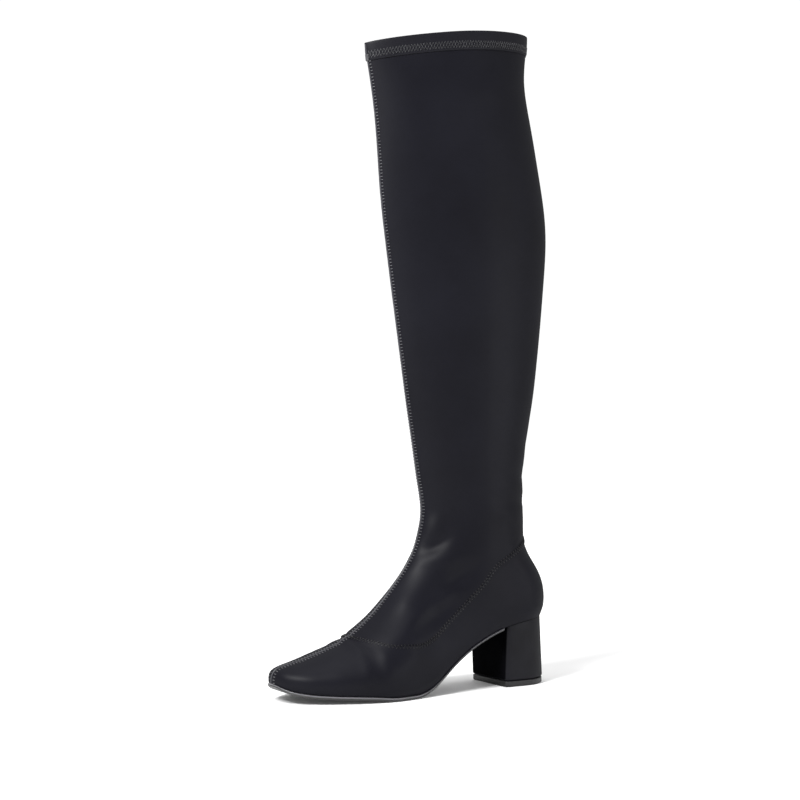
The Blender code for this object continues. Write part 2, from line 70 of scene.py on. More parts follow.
toe_low, foot_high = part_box("upper")
leg_low, leg_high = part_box("shaft")
swing_start = (foot_high.y + toe_low.y) / 2


def seam_x(y):
    """Sideways place of the front seam, which swings to the inner side over the toes."""
    share = np.clip((swing_start - y) / (swing_start - toe_low.y), 0, 1)
    return TOE_SWING * share * share


def select_only(piece):
    bpy.ops.object.select_all(action="DESELECT")
    piece.select_set(True)
    bpy.context.view_layer.objects.active = piece


def copy_of(node, name):
    """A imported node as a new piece, with its loose triangles merged."""
    piece = bpy.data.objects.new(name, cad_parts[node].data.copy())
    bpy.context.collection.objects.link(piece)
    piece.data.materials.clear()
    select_only(piece)
    bpy.ops.object.mode_set(mode="EDIT")
    bpy.ops.mesh.select_all(action="SELECT")
    bpy.ops.mesh.remove_doubles(threshold=MERGE)
    bpy.ops.object.mode_set(mode="OBJECT")
    return piece


def tree_of(pieces):
    """One search tree over the faces of several pieces."""
    points, faces = [], []
    for piece in pieces:
        start = len(points)
        points.extend(vert.co.copy() for vert in piece.data.vertices)
        faces.extend([start + i for i in face.vertices] for face in piece.data.polygons)
    return BVHTree.FromPolygons(points, faces)


def even_directions(count):
    """Directions spread evenly over a sphere."""
    golden_turn = math.pi * (3 - math.sqrt(5))
    for i in range(count):
        height = 1 - (2 * i + 1) / count
        radius = math.sqrt(1 - height * height)
        turn = i * golden_turn
        yield Vector((radius * math.cos(turn), radius * math.sin(turn), height))


def keep_outer_skin(builder, outside_share):
    """Deletes the vertices from which few directions run free: the inside, and the rims with it."""
    for vert in list(builder.verts):
        free = 0
        for direction in directions:
            if packed_solids.ray_cast(vert.co + direction * RAY_START, direction)[0] is None:
                free += 1
        if free < outside_share * len(directions):
            builder.verts.remove(vert)


def rows_after(first):
    """Rows of vertices, each made of the neighbours of the row before."""
    rows = [set(first)]
    seen = set(first)
    while rows[-1]:
        row = {edge.other_vert(vert) for vert in rows[-1] for edge in vert.link_edges} - seen
        seen |= row
        rows.append(row)
    return rows[:-1]


def places_around(row):
    """Place of each vertex of a ring, counted round from the front seam."""
    centre_y = sum(vert.co.y for vert in row) / len(row)
    before_seam = 0.01

    def turn(vert):
        from_seam = vert.co.x - seam_x(vert.co.y)
        return (math.atan2(from_seam, centre_y - vert.co.y) + before_seam) % (2 * math.pi)

    return {vert: i for i, vert in enumerate(sorted(row, key=turn))}


def places_up(row):
    """Place of each vertex of a column, counted up from the sole edge on either side."""
    places = {}
    for side in (1, -1):
        half = [vert for vert in row if side * (vert.co.x - seam_x(vert.co.y)) > -MERGE]
        for i, vert in enumerate(sorted(half, key=lambda vert: vert.co.z)):
            places[vert] = i
    return places


def dissolve_diagonals(builder, first, places_in):
    """Turns the triangles back into the four-sided faces that the rows and columns make."""
    rows = rows_after(first)
    diagonals = set()
    for row, after in zip(rows, rows[1:]):
        if min(len(row), len(after)) > 1:
            near, far = places_in(row), places_in(after)
            for vert in row:
                for edge in vert.link_edges:
                    other = edge.other_vert(vert)
                    if other in far and far[other] != near[vert]:
                        diagonals.add(edge)
    builder.edges.index_update()
    in_order = sorted(diagonals, key=lambda edge: edge.index)  # a set has another order each run
    bmesh.ops.dissolve_edges(builder, edges=in_order, use_verts=False)


def points_of(mesh):
    points = np.empty(len(mesh.vertices) * 3)
    mesh.vertices.foreach_get("co", points)
    return points.reshape(-1, 3)


def normals_of(mesh):
    normals = np.empty(len(mesh.vertices) * 3)
    mesh.vertex_normals.foreach_get("vector", normals)
    return normals.reshape(-1, 3)


def put_points(mesh, points):
    mesh.vertices.foreach_set("co", np.asarray(points).ravel())
    mesh.update()


def round_off(piece, levels=SKIN_LEVELS):
    """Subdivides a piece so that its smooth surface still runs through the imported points."""
    mesh = piece.data
    packed = points_of(mesh)
    modifier = piece.modifiers.new("rounding", "SUBSURF")
    modifier.levels = modifier.render_levels = levels
    moved = packed.copy()
    for _ in range(FITTING_ROUNDS):
        bpy.context.view_layer.update()
        evaluated = piece.evaluated_get(bpy.context.evaluated_depsgraph_get())
        moved = moved + packed - points_of(evaluated.data)[: len(packed)]
        put_points(mesh, moved)
    select_only(piece)
    bpy.ops.object.modifier_apply(modifier=modifier.name)


def mark_front_seam(builder):
    """Gives the vertices of the front seam the value 1, which lasts through the rounding."""
    builder.normal_update()
    mark = builder.verts.layers.float.new(SEAM_MARK)
    for vert in builder.verts:
        if vert.normal.y < FRONT_NORMAL and abs(vert.co.x - seam_x(vert.co.y)) < 5 * MERGE:
            vert[mark] = 1


def skin_of(node, name, outside_share, first_row, places_in):
    """The outside of a packed cloth wall as an open, smooth skin."""
    piece = copy_of(node, name)
    builder = bmesh.new()
    builder.from_mesh(piece.data)
    keep_outer_skin(builder, outside_share)
    dissolve_diagonals(builder, first_row(builder), places_in)
    mark_front_seam(builder)
    builder.to_mesh(piece.data)
    builder.free()
    round_off(piece)
    return piece


directions = list(even_directions(DIRECTION_COUNT))
packed_solids = tree_of(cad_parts.values())


def hem_row(builder):
    middle = (leg_low.z + leg_high.z) / 2
    return [vert for vert in builder.verts if vert.is_boundary and vert.co.z > middle]


def back_column(builder):
    return [vert for vert in builder.verts if abs(vert.co.x) < MERGE and vert.co.y > 0]


leg_cloth = skin_of("shaft", "leg_cloth", LEG_OUTSIDE, hem_row, places_around)
foot_cloth = skin_of("upper", "foot_cloth", FOOT_OUTSIDE, back_column, places_up)

# Creases: the stretch cloth turns over the instep and sags behind the ankle, which leaves soft
# troughs and ridges. Each one is placed in side view, in millimetres, and swells or sinks along
# the cloth's own normal on the side of the leg that it faces.
Crease = namedtuple("Crease", "y z slant length width height facing")
OUTER = np.array((1.0, 0.0, 0.0))
INNER = -OUTER
BACK = np.array((0.0, 1.0, 0.0))
FRONT = -BACK
CREASES = (
    Crease(-82, 117, 34, 12, 4.0, -2.2, OUTER),
    Crease(-84, 131, 62, 10, 6.0, 1.2, OUTER),
    Crease(-80, 105, 8, 20, 5.5, 1.4, OUTER),
    Crease(-69, 90, 25, 14, 7.5, -3.2, OUTER),
    Crease(-83, 76, 30, 13, 5.0, 1.4, OUTER),
    Crease(-93, 61, 25, 17, 6.0, -1.7, OUTER),
    Crease(-112, 71, -38, 20, 7.0, 0.7, OUTER),
    Crease(-20, 93, 0, 22, 11.0, -0.8, OUTER),
    Crease(-25, 66, 20, 34, 7.0, 0.7, OUTER),
    Crease(-28, 140, -12, 22, 5.0, 0.6, OUTER),
    Crease(-24, 151, -10, 22, 4.5, -0.7, OUTER),
    Crease(-30, 172, -8, 26, 6.0, -0.5, OUTER),
    Crease(-105, 497, 4, 16, 9.0, -1.0, OUTER),
    Crease(-108, 450, -78, 38, 15.0, 1.1, OUTER),
    Crease(-62, 430, 80, 60, 18.0, -0.7, OUTER),
    Crease(-40, 480, 20, 25, 10.0, 0.6, OUTER),
    Crease(-12, 150, 0, 24, 3.6, -0.8, BACK),
    Crease(-12, 160, 0, 24, 4.0, 0.5, BACK),
    Crease(-12, 171, 0, 24, 4.2, -0.6, BACK),
    Crease(-12, 184, 0, 24, 5.0, 0.4, BACK),
    Crease(-12, 197, 0, 24, 5.0, -0.4, BACK),
    Crease(-80, 118, 30, 14, 5.0, -1.4, INNER),
    Crease(-78, 106, 10, 20, 6.0, 0.8, INNER),
    Crease(-64, 92, 28, 15, 8.0, -1.6, INNER),
    Crease(-90, 66, 22, 18, 6.0, -0.9, INNER),
    Crease(-28, 152, -8, 24, 5.0, -0.7, INNER),
    Crease(-95, 470, -70, 40, 16.0, 0.8, INNER),
)
CREASE_REACH = 1.6  # how quickly a crease grows on cloth that turns towards its side
EDGE_CALM = 0.010  # creases fade out towards the sole and the hem
RIPPLE = 0.00035
RIPPLE_SCALE = 14


def crease_height(points, normals):
    """How far out of the surface the creases and the cloth's slight unevenness lift each point."""
    height = np.array([RIPPLE * noise.noise(Vector(point) * RIPPLE_SCALE) for point in points])
    for crease in CREASES:
        slant = math.radians(crease.slant)
        from_y = points[:, 1] * 1000 - crease.y
        from_z = points[:, 2] * 1000 - crease.z
        along = (from_y * math.cos(slant) + from_z * math.sin(slant)) / crease.length
        across = (from_z * math.cos(slant) - from_y * math.sin(slant)) / crease.width
        turned = np.clip(normals @ crease.facing * CREASE_REACH, 0, 1)
        height += crease.height / 1000 * turned * np.exp(-along * along - across * across)
    return height


def edge_share(points, edge_points, reach):
    """0 on an edge, 1 at the given distance from it and beyond."""
    edge_tree = KDTree(len(edge_points))
    for i, point in enumerate(edge_points):
        edge_tree.insert(point, i)
    edge_tree.balance()
    return np.array([min(1, edge_tree.find(point)[2] / reach) for point in points])


def lines_of(piece, is_part):
    """The lines and loops that some edges of a piece make, as ordered vertex numbers."""
    builder = bmesh.new()
    builder.from_mesh(piece.data)
    ways = {}
    for edge in builder.edges:
        if is_part(builder, edge):
            for vert in edge.verts:
                ways.setdefault(vert.index, []).append(edge.other_vert(vert).index)
    builder.free()
    lines = []
    while ways:
        place = min(ways, key=lambda i: (len(ways[i]), i))
        line = []
        while place in ways:
            onward = ways.pop(place)
            line.append(place)
            place = next((i for i in onward if i in ways), None)
        lines.append(line)
    return lines


def is_open_edge(builder, edge):
    return edge.is_boundary


def is_front_seam(builder, edge):
    mark = builder.verts.layers.float[SEAM_MARK]
    return all(vert[mark] > ON_SEAM for vert in edge.verts)


def by_height(piece, lines):
    points = points_of(piece.data)
    return sorted(lines, key=lambda line: points[line, 2].mean())


sole_line, foot_top = by_height(foot_cloth, lines_of(foot_cloth, is_open_edge))
leg_foot, hem_line = by_height(leg_cloth, lines_of(leg_cloth, is_open_edge))
for cloth, calm_line in ((leg_cloth, hem_line), (foot_cloth, sole_line)):
    points = points_of(cloth.data)
    normals = normals_of(cloth.data)
    lift = crease_height(points, normals) * edge_share(points, points[calm_line], EDGE_CALM)
    put_points(cloth.data, points + normals * lift[:, None])

# Seam round the foot: the foot piece ends a little over the leg piece, with a thin raw edge, and
# the leg piece runs on under it, where it is sewn. Both are stretch jersey with a brushed knit
# lining, and get their wall and that lining inwards.
EDGE_OVER = 0.0008
EDGE_PROUD = 0.0006
EDGE_UNDER = 0.0022
EDGE_SUNK = 0.0009
GAP_EVENING = 6  # rounds of averaging along the seam
LINING_SLOT = 1
WALES = (2600, 2600, 700)  # the knit's lines are finer across the leg than along it
WALE_DEPTH = 0.00005
LOOPS = (1500, 1500, 500)
NAP_DEPTH = 0.00015
SMOOTH_ANGLE = math.radians(50)
leg_tree = tree_of([leg_cloth])
foot_tree = tree_of([foot_cloth])
foot_points = points_of(foot_cloth.data)
leg_points = points_of(leg_cloth.data)


def across_gap(points, tree):
    """Nearest places on the other piece with their normals, and directions to them, evened out."""
    nearest = [tree.find_nearest(Vector(point))[:2] for point in points]
    places, normals = (np.array(column) for column in zip(*nearest))
    ways = places - points
    for _ in range(GAP_EVENING):
        ways = (np.roll(ways, 1, axis=0) + ways + np.roll(ways, -1, axis=0)) / 3
    return places, normals, ways / np.linalg.norm(ways, axis=1)[:, None]


places, normals, ways = across_gap(foot_points[foot_top], leg_tree)
foot_points[foot_top] = places + ways * EDGE_OVER + normals * EDGE_PROUD
places, normals, ways = across_gap(leg_points[leg_foot], foot_tree)
leg_points[leg_foot] += ways * EDGE_UNDER - normals * EDGE_SUNK
put_points(foot_cloth.data, foot_points)
put_points(leg_cloth.data, leg_points)
leg_tree = tree_of([leg_cloth])
foot_tree = tree_of([foot_cloth])
skin_tree = tree_of([leg_cloth, foot_cloth])


class Nodes:
    """A tree of shader nodes, with one method that adds any of them."""

    def __init__(self, tree):
        self.tree = tree

    def node(self, kind, settings=None, values=None, output=0):
        made = self.tree.nodes.new(kind)
        for name, value in (settings or {}).items():
            setattr(made, name, value)
        for name, value in (values or {}).items():
            self.feed(made.inputs[name], value)
        return Wire(self, made.outputs[output])

    def vector_maths(self, operation, *values, output=0):
        kind = "ShaderNodeVectorMath"
        return self.node(kind, {"operation": operation}, dict(enumerate(values)), output)

    def feed(self, socket, value):
        if isinstance(value, Wire):
            self.tree.links.new(value.socket, socket)
        else:
            socket.default_value = value


class Wire:
    """An output of a shader node. Arithmetic on it adds Math nodes."""

    def __init__(self, nodes, socket):
        self.nodes = nodes
        self.socket = socket

    def maths(self, operation, *values):
        return self.nodes.node("ShaderNodeMath", {"operation": operation}, dict(enumerate(values)))

    def __add__(self, other):
        return self.maths("ADD", self, other)

    def __radd__(self, other):
        return self.maths("ADD", other, self)

    def __sub__(self, other):
        return self.maths("SUBTRACT", self, other)

    def __rsub__(self, other):
        return self.maths("SUBTRACT", other, self)

    def __mul__(self, other):
        return self.maths("MULTIPLY", self, other)

    def __rmul__(self, other):
        return self.maths("MULTIPLY", other, self)

    def between(self, low, high):
        """0 below the first value, 1 above the second, and smooth between them."""
        values = {"Value": self, "From Min": low, "From Max": high}
        return self.nodes.node("ShaderNodeMapRange", {"interpolation_type": "SMOOTHSTEP"}, values)


class Finish(Nodes):
    """A material of the boot, with the nodes that its cloths, threads and rubbers share."""

    def __init__(self, name, specular, sheen=0.0, coat=0.0, coat_roughness=0.4):
        self.material = bpy.data.materials.new(name)
        self.material.use_nodes = True
        super().__init__(self.material.node_tree)
        self.surface = self.tree.nodes["Principled BSDF"]
        self.surface.inputs["Specular IOR Level"].default_value = specular
        self.surface.inputs["Sheen Weight"].default_value = sheen
        self.surface.inputs["Coat Weight"].default_value = coat
        self.surface.inputs["Coat Roughness"].default_value = coat_roughness
        self.place = self.node("ShaderNodeTexCoord", output="Object")

    def put(self, socket, value):
        self.feed(self.surface.inputs[socket], value)

    def stretched(self, by):
        return self.vector_maths("MULTIPLY", self.place, by)

    def noise(self, scale, detail=2.0, where=None):
        values = {"Vector": where or self.place, "Scale": scale, "Detail": detail}
        return self.node("ShaderNodeTexNoise", None, values)

    def tint(self, share, low, high):
        low, high = (colour if isinstance(colour, Wire) else (*colour, 1) for colour in (low, high))
        values = {0: share, 6: low, 7: high}
        return self.node("ShaderNodeMix", {"data_type": "RGBA"}, values, output=2)

    def bump(self, height, distance, strength=1.0):
        values = {"Height": height, "Distance": distance, "Strength": strength}
        self.put("Normal", self.node("ShaderNodeBump", None, values))


def stretch_finish(name, dark, light, roughness, coat):
    """Smooth stretch jersey: fine wales along the leg, and a soft gloss with broad, faint changes."""
    finish = Finish(name, specular=0.0, coat=coat, coat_roughness=roughness)
    broad = finish.noise(11, 3)
    wales = finish.noise(1, 2, finish.stretched(WALES))
    speckle = finish.noise(900, 1)
    finish.put("Base Color", finish.tint((broad * 0.7 + wales * 0.3).between(0.3, 0.7), dark, light))
    finish.put("Roughness", roughness + (broad - 0.5) * 0.12 + (speckle - 0.5) * 0.08)
    finish.bump(wales + speckle * 0.5, WALE_DEPTH, 0.4)
    return finish


def lining_finish(name, dark, light):
    """Brushed knit on the inside of the cloth: soft, with a short, uneven nap."""
    finish = Finish(name, specular=0.15, sheen=0.2)
    nap = finish.noise(1400, 3)
    loops = finish.noise(1, 1, finish.stretched(LOOPS))
    finish.put("Base Color", finish.tint((nap * 0.6 + loops * 0.4).between(0.3, 0.7), dark, light))
    finish.put("Roughness", 0.85 + nap * 0.1)
    finish.bump(nap + loops, NAP_DEPTH, 0.7)
    return finish


CLOTH_DARK = (0.0026, 0.0025, 0.0045)
CLOTH_LIGHT = (0.0050, 0.0050, 0.0082)
cloth_finish = stretch_finish("stretch_cloth", CLOTH_DARK, CLOTH_LIGHT, 0.48, 0.21)
cloth_lining = lining_finish("cloth_lining", (0.012, 0.012, 0.013), (0.026, 0.026, 0.028))


def put_on(piece, finish, slot, *nodes):
    """Gives a piece its finish and joins it to the boot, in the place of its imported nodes."""
    piece.data.materials.append(finish.material)
    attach(piece, "root")
    if nodes:
        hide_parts(*nodes)


def shade_smooth(piece):
    select_only(piece)
    bpy.ops.object.shade_smooth_by_angle(angle=SMOOTH_ANGLE)


def seam_points(cloth):
    """The front seam of a piece, as points along it."""
    return points_of(cloth.data)[max(lines_of(cloth, is_front_seam), key=len)]


leg_seam = seam_points(leg_cloth)
foot_seam = seam_points(foot_cloth)
foot_edge = points_of(foot_cloth.data)[foot_top]
hem_edge = points_of(leg_cloth.data)[hem_line]
for cloth, thickness, node in ((leg_cloth, LEG_WALL, "shaft"), (foot_cloth, FOOT_WALL, "upper")):
    put_on(cloth, cloth_finish, "stretch_cloth", node)
    cloth.data.materials.append(cloth_lining.material)
    wall = cloth.modifiers.new("wall", "SOLIDIFY")
    wall.thickness = thickness
    wall.offset = -1
    wall.material_offset = LINING_SLOT
    select_only(cloth)
    bpy.ops.object.modifier_apply(modifier=wall.name)
    shade_smooth(cloth)

# Front seam: the two edges of the cloth meet in a narrow rolled ridge from the toe to the
# collar, and a ladder of short bars of polyester thread holds the turned edge flat on either side
# of it.
SEAM_STEP = 0.0025
BEAD_RADIUS = 0.00095
BEAD_ROUNDNESS = 3
BEAD_SINK = 0.00035
BAR_START = 0.0016
BAR_LENGTH = 0.0023
TOE_OFFSET = 0.0016  # the row runs further from the seam over the toes
TOE_RUN = 0.10  # length of seam over which it does
BAR_RADIUS = 0.00029
TWIST_DEPTH = 0.00008
THREAD_LIFT = 0.00012


def evenly(points, step):
    """Points at even distances along a line."""
    points = np.asarray(points)
    lengths = np.r_[0, np.cumsum(np.linalg.norm(np.diff(points, axis=0), axis=1))]
    places = np.linspace(0, lengths[-1], max(2, round(lengths[-1] / step) + 1))
    return np.column_stack([np.interp(places, lengths, points[:, k]) for k in range(3)])


def tangents(points):
    steps = np.gradient(points, axis=0)
    return steps / np.linalg.norm(steps, axis=1)[:, None]


def laid(tree, point, lift=THREAD_LIFT):
    """The place on the cloth next to a point, lifted by part of a thread's thickness."""
    near, normal = tree.find_nearest(Vector(point))[:2]
    return near + normal * lift


def tubes(name, strands, radius, roundness=1):
    """Round strands through points, joined in one piece."""
    curve = bpy.data.curves.new(name, "CURVE")
    curve.dimensions = "3D"
    curve.bevel_depth = radius
    curve.bevel_resolution = roundness
    curve.use_fill_caps = True
    for strand in strands:
        spline = curve.splines.new("POLY")
        spline.points.add(len(strand) - 1)
        for place, point in zip(spline.points, strand):
            place.co = (*point, 1)
    piece = bpy.data.objects.new(name, curve)
    bpy.context.collection.objects.link(piece)
    select_only(piece)
    bpy.ops.object.convert(target="MESH")
    bpy.ops.object.shade_smooth()
    return piece


def thread_finish(name, dark, light):
    """Spun polyester thread: a tight twist of fine fibres with a slight shine."""
    finish = Finish(name, specular=0.5)
    twist = finish.noise(2600, 1)
    finish.put("Base Color", finish.tint(twist.between(0.35, 0.65), dark, light))
    finish.put("Roughness", 0.42 + twist * 0.2)
    finish.bump(twist, TWIST_DEPTH)
    return finish


def from_below(points):
    return points if points[0, 2] < points[-1, 2] else points[::-1]


front_line = evenly(np.vstack((from_below(foot_seam), from_below(leg_seam)[2:])), SEAM_STEP)
bead_line = [laid(skin_tree, point, -BEAD_SINK) for point in front_line]
bead = tubes("front_bead", [bead_line], BEAD_RADIUS, BEAD_ROUNDNESS)
# The rolled ridge is painted far lighter than the cloth: a painted highlight of light catching its roll.
bead_painted_highlight = stretch_finish("seam_bead_painted_highlight", (0.018, 0.018, 0.022), (0.045, 0.045, 0.052), 0.36, 0.6)
put_on(bead, bead_painted_highlight, "stretch_cloth")

light_thread = thread_finish("light_thread", (0.045, 0.045, 0.050), (0.105, 0.105, 0.112))
dark_thread = thread_finish("dark_thread", (0.0015, 0.0015, 0.002), (0.004, 0.004, 0.005))
front_tangents = tangents(front_line)
bars = []
for side in (OUTER, INNER):
    for i, (point, tangent) in enumerate(zip(front_line, front_tangents)):
        across = Vector(side - tangent * np.dot(side, tangent)).normalized()
        start = BAR_START + TOE_OFFSET * max(0, 1 - i * SEAM_STEP / TOE_RUN)
        reach = (start, start + BAR_LENGTH / 2, start + BAR_LENGTH)
        bars.append([laid(skin_tree, Vector(point) + across * far) for far in reach])
ladder = tubes("front_ladder", bars, BAR_RADIUS)
put_on(ladder, light_thread, "stretch_cloth")

# Stitches round the foot: a close zigzag of dark polyester thread, sewn by machine across the
# edge of the foot piece, which it holds down on the leg piece.
FOXING_STEP = 0.0014
ZIGZAG_OVER = 0.0016
ZIGZAG_DOWN = 0.0017
ZIGZAG_RADIUS = 0.00030
ZIGZAG_LIFT = 0.00030


def closed(points):
    return np.vstack((points, points[:1]))


def across_foot_seam(point, tangent):
    """Direction on the cloth from the foot piece to the leg piece."""
    normal = leg_tree.find_nearest(Vector(point))[1]
    across = normal.cross(Vector(tangent)).normalized()
    return across if across.z > 0 else -across


foot_seam_line = evenly(closed(foot_edge), FOXING_STEP)
zigzag = []
for i, (point, tangent) in enumerate(zip(foot_seam_line, tangents(foot_seam_line))):
    across = across_foot_seam(point, tangent)
    if i % 2:
        zigzag.append(laid(leg_tree, Vector(point) + across * ZIGZAG_OVER, ZIGZAG_LIFT))
    else:
        zigzag.append(laid(foot_tree, Vector(point) - across * ZIGZAG_DOWN, ZIGZAG_LIFT))
foxing_thread = tubes("foot_seam_thread", [zigzag], ZIGZAG_RADIUS)
put_on(foxing_thread, dark_thread, "stretch_cloth")

# Hem: the top of the leg is turned in over an elastic band, in the same stretch cloth, and held
# by a cover stitch along its lower edge. The front seam runs up over it and ends in a bar tack.
HEM_CREASE = 0.55
SHARP = math.radians(40)
PAIR_ANGLE = math.radians(120)  # how far two triangles may differ and still become one face
HEM_LOW = 0.0016
HEM_HIGH = 0.0072
HEM_STEP = 0.0024
COVER_RADIUS = 0.00026
HEM_WAVE = 0.0005
HEM_WAVE_SCALE = 38
HEM_WAVE_STRETCH = (1, 1, 0.4)
HEM_CLEAR = 0.003  # points are taken this far out of the hem before they are laid on it
HEM_LENGTHENED = 2  # the opening is about this many times longer than wide
HEM_BEAD_RADIUS = 0.000855
HEM_BEAD_LOW = -0.001
HEM_BEAD_HIGH = 0.0130
HEM_BEAD_POINTS = 10
TACK_BARS = 7
TACK_HEIGHT = 0.0045
TACK_WIDTH = 0.0022
TACK_LIFT = 0.0004
TACK_PROUD = 0.0009


def squared_copy(node, name):
    """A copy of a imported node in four-sided faces."""
    piece = copy_of(node, name)
    bpy.ops.object.mode_set(mode="EDIT")
    bpy.ops.mesh.select_all(action="SELECT")
    bpy.ops.mesh.tris_convert_to_quads(face_threshold=PAIR_ANGLE, shape_threshold=PAIR_ANGLE)
    bpy.ops.object.mode_set(mode="OBJECT")
    return piece


def rounded_copy(node, name, crease, levels=SKIN_LEVELS):
    """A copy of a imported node, rounded, with its rims kept fairly sharp."""
    piece = squared_copy(node, name)
    builder = bmesh.new()
    builder.from_mesh(piece.data)
    crease_layer = builder.edges.layers.float.new("crease_edge")
    for edge in builder.edges:
        if edge.calc_face_angle(0) > SHARP:
            edge[crease_layer] = crease
    builder.to_mesh(piece.data)
    builder.free()
    round_off(piece, levels)
    return piece


hem = rounded_copy("collar_band", "hem", HEM_CREASE)
hem_points = points_of(hem.data)
hem_normals = normals_of(hem.data)
wave = np.array([noise.noise(Vector(point * HEM_WAVE_STRETCH) * HEM_WAVE_SCALE) for point in hem_points])
hem_points += hem_normals * (HEM_WAVE * wave * (1 - np.abs(hem_normals[:, 2])))[:, None]
put_points(hem.data, hem_points)
shade_smooth(hem)
hem_finish = stretch_finish("hem_cloth", (0.0038, 0.0037, 0.0056), (0.0070, 0.0069, 0.0100), 0.50, 0.24)
put_on(hem, hem_finish, "hem_cloth", "collar_band")

hem_tree = tree_of([hem])
around = evenly(closed(hem_edge), HEM_STEP)
middle_y = around[:, 1].mean()


def on_hem(point, rise):
    """The place on the hem above a point of the leg's edge."""
    outward = Vector((point[0] * HEM_LENGTHENED, point[1] - middle_y, 0)).normalized()
    return laid(hem_tree, Vector(point) + outward * HEM_CLEAR + Vector((0, 0, rise)))


cover = []
for first, second in ((HEM_LOW, HEM_HIGH), (HEM_HIGH, HEM_LOW)):
    cover.append([on_hem(point, second if i % 2 else first) for i, point in enumerate(around)])
cover_stitch = tubes("hem_cover_stitch", cover, COVER_RADIUS)
hem_thread = thread_finish("hem_thread", (0.028, 0.028, 0.031), (0.075, 0.075, 0.080))
put_on(cover_stitch, hem_thread, "hem_cloth")

front_point = around[around[:, 1].argmin()]
band_rise = np.linspace(HEM_BEAD_LOW, HEM_BEAD_HIGH, HEM_BEAD_POINTS)
bead_end = [on_hem(front_point, rise) for rise in band_rise]
# The bead over the hem carries the same painted highlight.
hem_bead = tubes("hem_bead", [bead_end], HEM_BEAD_RADIUS, BEAD_ROUNDNESS)
put_on(hem_bead, bead_painted_highlight, "hem_cloth")
tack = []
for rise in np.linspace(0, TACK_HEIGHT, TACK_BARS):
    centre = on_hem(front_point, rise)
    half_width = Vector(OUTER) * TACK_WIDTH
    left = laid(hem_tree, centre - half_width, TACK_LIFT)
    right = laid(hem_tree, centre + half_width, TACK_LIFT)
    tack.append([left, centre + Vector(FRONT) * TACK_PROUD, right])
bar_tack = tubes("bar_tack", tack, BAR_RADIUS)
put_on(bar_tack, light_thread, "hem_cloth")

# Sock: a thin padded insole, covered in black textile and glued on the insole board inside the
# foot piece. It is seen only from above, down the leg.
SOCK_CREASE = 0.6
sock = rounded_copy("insole", "sock", SOCK_CREASE, levels=1)
shade_smooth(sock)
sock_finish = lining_finish("sock_lining", (0.018, 0.018, 0.019), (0.036, 0.036, 0.038))
put_on(sock, sock_finish, "sock_lining", "insole")

# Outsole: a thin sole of moulded rubber, cemented under the foot piece. The upper part of its
# edge is polished and glossier, with a fine groove run round below it. That upper strip is also
# painted lighter, a painted reflection of the white floor.
SOLE_ROWS = 7
RISE_MARK = "rise"
SIDE_NORMAL = 0.6  # a face of the edge looks up or down less than this
RUBBER_GRAIN = 0.0001
SOLE_PROFILE = (  # share of the edge's height, and how far the edge stands out there
    (0.0, -0.0006),
    (0.14, 0.0),
    (0.42, 0.0),
    (0.50, -0.00035),
    (0.58, 0.0003),
    (0.88, 0.0003),
    (1.0, -0.0001),
)
SOLE_DARK = (0.012, 0.012, 0.013)
SOLE_PAINTED_REFLECTION = (0.11, 0.108, 0.118)


def is_side(face):
    return abs(face.normal.z) < SIDE_NORMAL


outsole = squared_copy("outsole", "outsole_rubber")
builder = bmesh.new()
builder.from_mesh(outsole.data)
builder.normal_update()
rise = builder.verts.layers.float.new(RISE_MARK)
walls = {face for face in builder.faces if is_side(face)}
uprights = [edge for edge in builder.edges if len(walls.intersection(edge.link_faces)) == 2]
for edge in uprights:
    max(edge.verts, key=lambda vert: vert.co.z)[rise] = 1
bmesh.ops.subdivide_edges(builder, edges=uprights, cuts=SOLE_ROWS - 2, use_grid_fill=True)
profile_rise, profile_out = zip(*SOLE_PROFILE)
builder.normal_update()
moves = {}
for vert in builder.verts:
    out = sum((face.normal for face in vert.link_faces if is_side(face)), Vector())
    out.z = 0
    moves[vert] = out.normalized() * float(np.interp(vert[rise], profile_rise, profile_out))
for vert, move in moves.items():
    vert.co += move
builder.to_mesh(outsole.data)
builder.free()
rounding = outsole.modifiers.new("rounding", "SUBSURF")
rounding.levels = rounding.render_levels = SKIN_LEVELS
select_only(outsole)
bpy.ops.object.modifier_apply(modifier=rounding.name)
shade_smooth(outsole)

sole_finish = Finish("sole_rubber", specular=0.5)
rise_share = sole_finish.node("ShaderNodeAttribute", {"attribute_name": RISE_MARK}, output="Fac")
grain = sole_finish.noise(700, 3)
reflection_unevenness = sole_finish.noise(60, 3)
# The upper strip of the edge is painted light grey, a painted reflection of the floor, made uneven along
# the edge by noise.
reflection_strip = rise_share.between(0.50, 0.62)
sole_finish.put("Base Color", sole_finish.tint(reflection_strip * (0.8 + reflection_unevenness * 0.3), SOLE_DARK, SOLE_PAINTED_REFLECTION))
sole_finish.put("Roughness", 0.5 - reflection_strip * 0.2 + (grain - 0.5) * 0.1)
sole_finish.bump(grain, RUBBER_GRAIN, 0.4)
put_on(outsole, sole_finish, "sole_rubber", "outsole")

# Heel: a block heel wrapped in the boot's own cloth and glued under the seat, with a lift of moulded
# rubber nailed below it. Their faces turned to the toe are painted near black: painted shade under the
# arch.
HEEL_EDGE = 0.0009
LIFT_EDGE = 0.0007
EDGE_STEPS = 3
HEEL_DARK = (0.0030, 0.0029, 0.0046)
HEEL_LIGHT = (0.0058, 0.0057, 0.0084)
HEEL_ROUGHNESS = 0.48
HEEL_COAT = 0.28


def bevelled_copy(node, name, width):
    """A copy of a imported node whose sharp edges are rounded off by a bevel."""
    piece = copy_of(node, name)
    bevel = piece.modifiers.new("edges", "BEVEL")
    bevel.width = width
    bevel.segments = EDGE_STEPS
    bevel.limit_method = "ANGLE"
    bevel.angle_limit = SHARP
    bevel.use_clamp_overlap = True
    bpy.ops.object.modifier_apply(modifier=bevel.name)
    shade_smooth(piece)
    return piece


